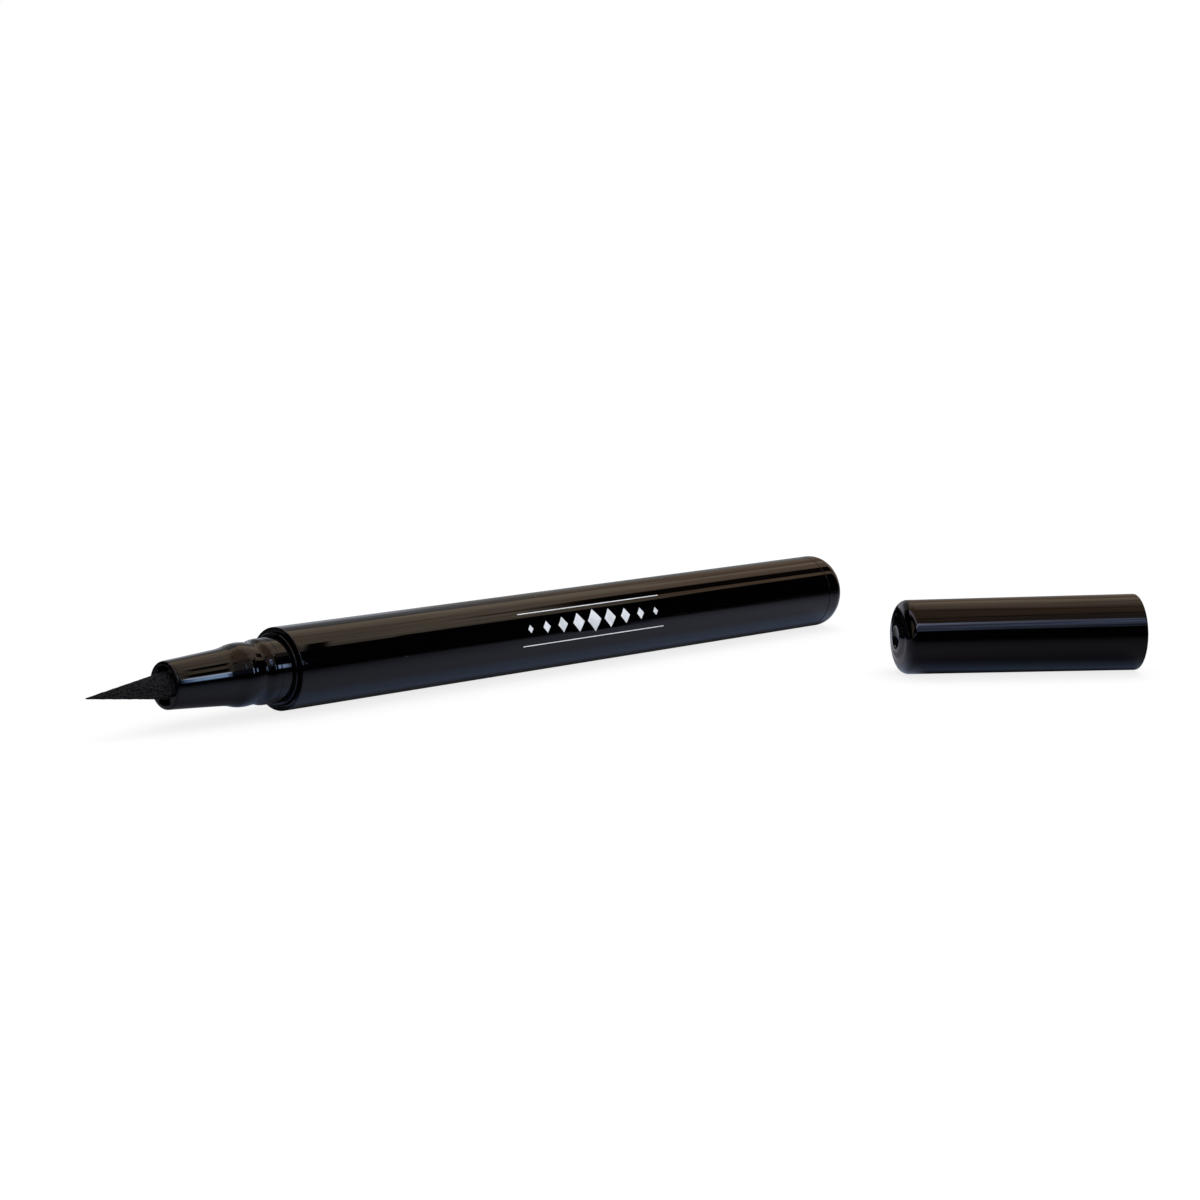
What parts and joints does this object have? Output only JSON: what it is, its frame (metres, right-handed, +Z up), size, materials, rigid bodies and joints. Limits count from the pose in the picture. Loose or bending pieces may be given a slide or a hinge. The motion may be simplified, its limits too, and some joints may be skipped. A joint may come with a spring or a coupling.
{
  "type": "felt tip eyeliner pen with its cap",
  "caption": "Slim round cosmetic pen with a stepped nozzle and a long pointed felt tip, lying beside its slightly tapered pull-off cap.",
  "frame": {"origin": "centre of the pair's footprint, on the table that the pen and the cap lie on", "axes": "+X along the cap towards its open mouth, +Z up, square to the table; the pen lies turned 34.48 degrees from +X towards +Y, its nib towards -X"},
  "size_m": [0.1456, 0.0798, 0.0108],
  "materials": {
    "gloss_black": "gloss",
    "nib_felt": "matte",
    "collector_white": "satin",
    "relay_fibre": "matte",
    "inner_cap_grey": "satin",
    "white_print": "satin",
    "steel": "polished"
  },
  "bodies": {
    "pen": {"barrel": "gloss_black", "tail_plug": "gloss_black", "front_section": "gloss_black", "nib": "nib_felt", "ink_collector": "collector_white", "relay_core": "relay_fibre"},
    "mixing_ball": {"mixing_ball": "steel"},
    "cap": {"cap_shell": "gloss_black", "cap_spring": "steel"},
    "inner_cap": {"inner_cap": "inner_cap_grey"}
  },
  "joints": [
    {"name": "cap_lift", "type": "slide", "parent": "pen", "child": "cap", "axis": [0, 0, 1], "range_m": [0, 0.04]},
    {"name": "inner_cap_slide", "type": "slide", "parent": "cap", "child": "inner_cap", "axis": [-1, 0, -0.0066], "range_m": [0, 0.0012], "stiffness_N_per_m": 300, "springref_m": -0.0015, "deforming": ["cap_spring"]},
    {"name": "ball_slide", "type": "slide", "parent": "pen", "child": "mixing_ball", "axis": [0.8243, 0.5661, 0], "range_m": [-0.0279, 0.0303]}
  ]
}
